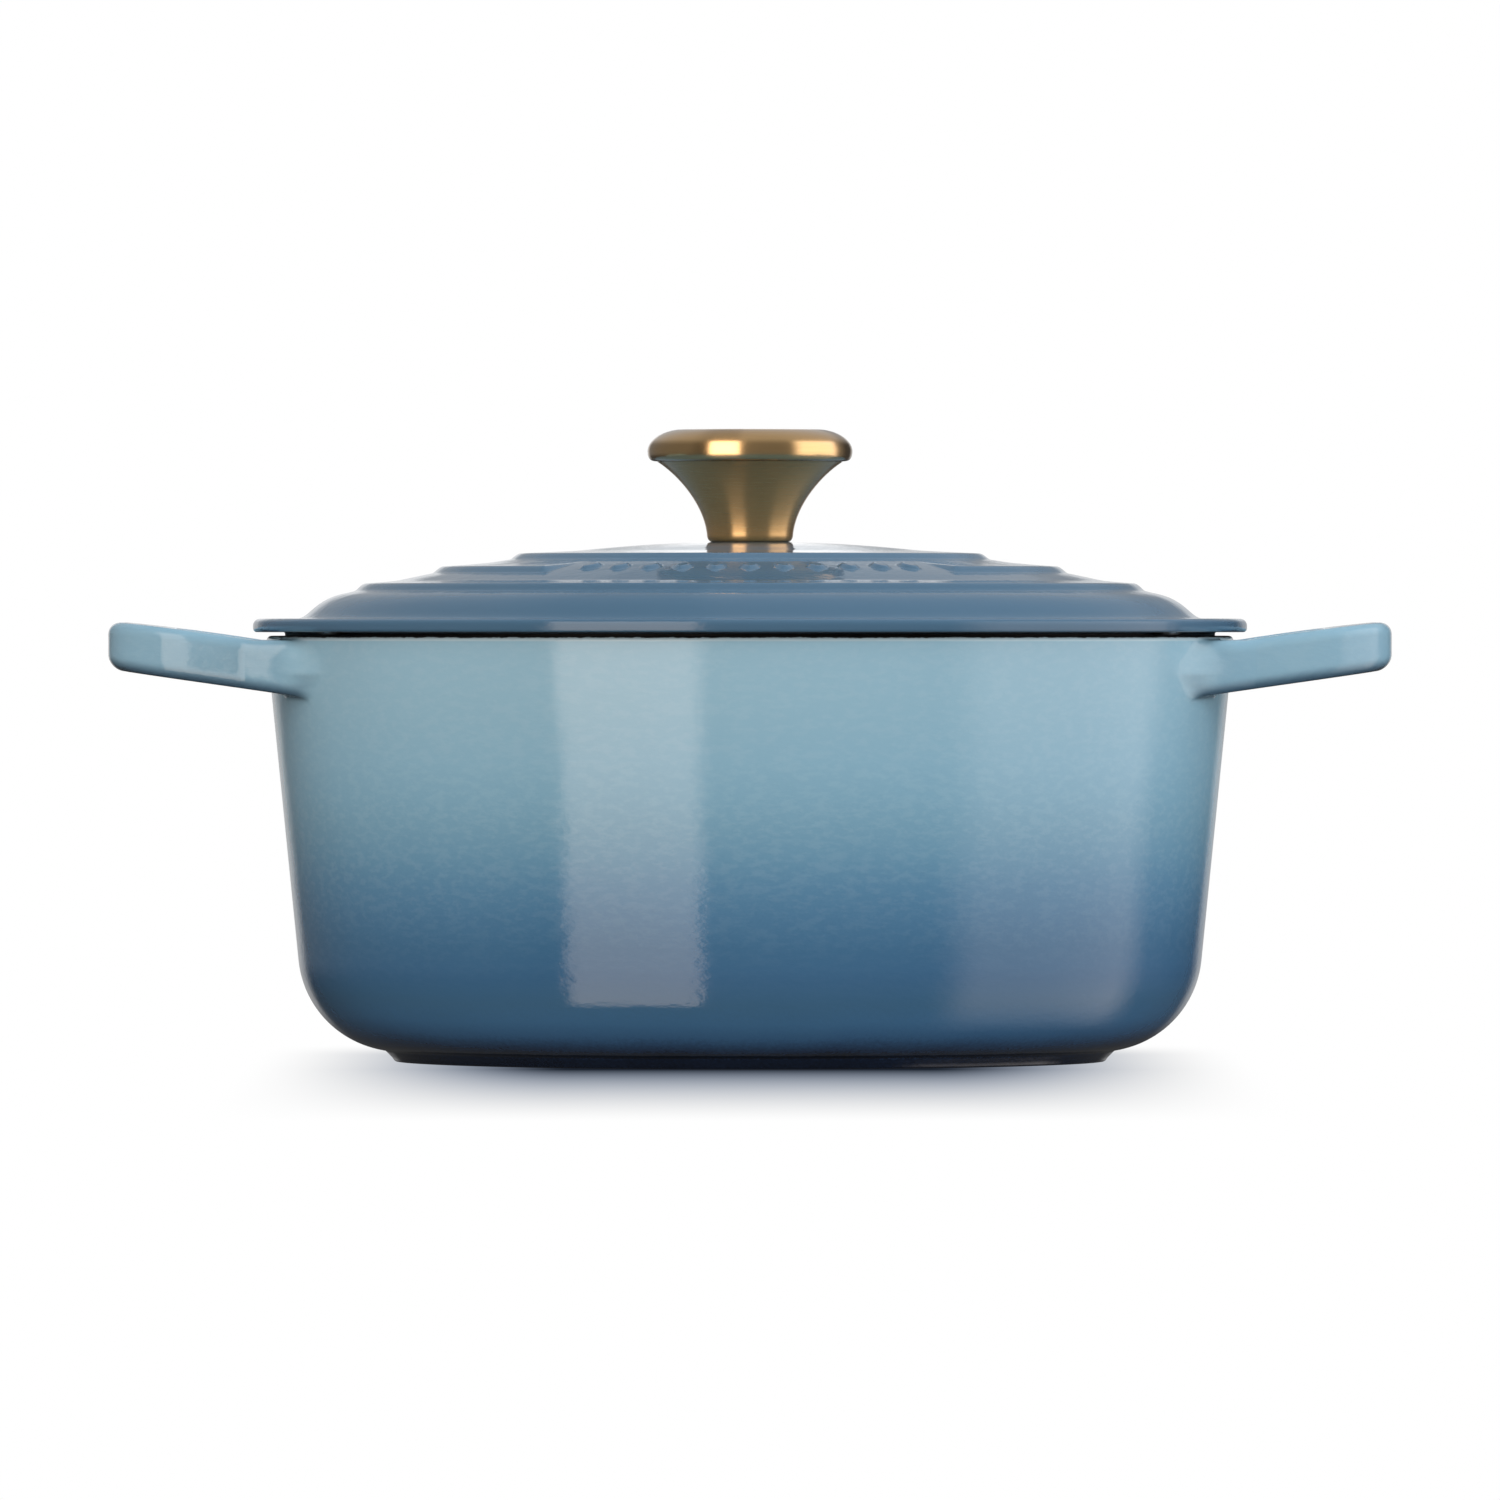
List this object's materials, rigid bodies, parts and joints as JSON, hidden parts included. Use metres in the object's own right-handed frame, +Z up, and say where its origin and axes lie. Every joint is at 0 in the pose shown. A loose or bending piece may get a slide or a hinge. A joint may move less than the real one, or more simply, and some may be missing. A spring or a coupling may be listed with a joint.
{
  "type": "dutch oven",
  "caption": "Round enamelled cast iron dutch oven with stepped lid, loop handles and a flared gold metal knob; the lid lifts off and turns.",
  "frame": {"origin": "middle of the foot ring, on the surface that the pot stands on", "axes": "+Z up through the knob, +X through one loop handle, -Y the front with the raised row of lozenges"},
  "size_m": [0.3566, 0.2764, 0.1757],
  "materials": {
    "pot_enamel": "glossy vitreous enamel on cast iron, pale grey blue at the rim shaded to navy at the base; cream inside, matt black rim",
    "lid_enamel": "glossy vitreous enamel on cast iron, medium blue; cream inside, matt black spigot and flange underside",
    "knob_gold": "satin brushed stainless steel sheet with a gold coating",
    "turned_steel": "turned stainless steel",
    "screw_steel": "bright stainless steel"
  },
  "bodies": {
    "pot": {"pot": "pot_enamel"},
    "knob": {"knob_cap": "knob_gold", "knob_neck": "knob_gold", "knob_insert": "turned_steel", "lid_screw": "screw_steel", "screw_washer": "screw_steel"},
    "lid": {"lid": "lid_enamel"}
  },
  "joints": [
    {"name": "lid_lift", "type": "slide", "parent": "pot", "child": "knob", "axis": [0, 0, 1], "range_m": [0, 0.15]},
    {"name": "lid_turn", "type": "hinge", "parent": "knob", "child": "lid", "pos_m": [0, 0, 0.1445], "axis": [0, 0, 1], "continuous": true}
  ]
}
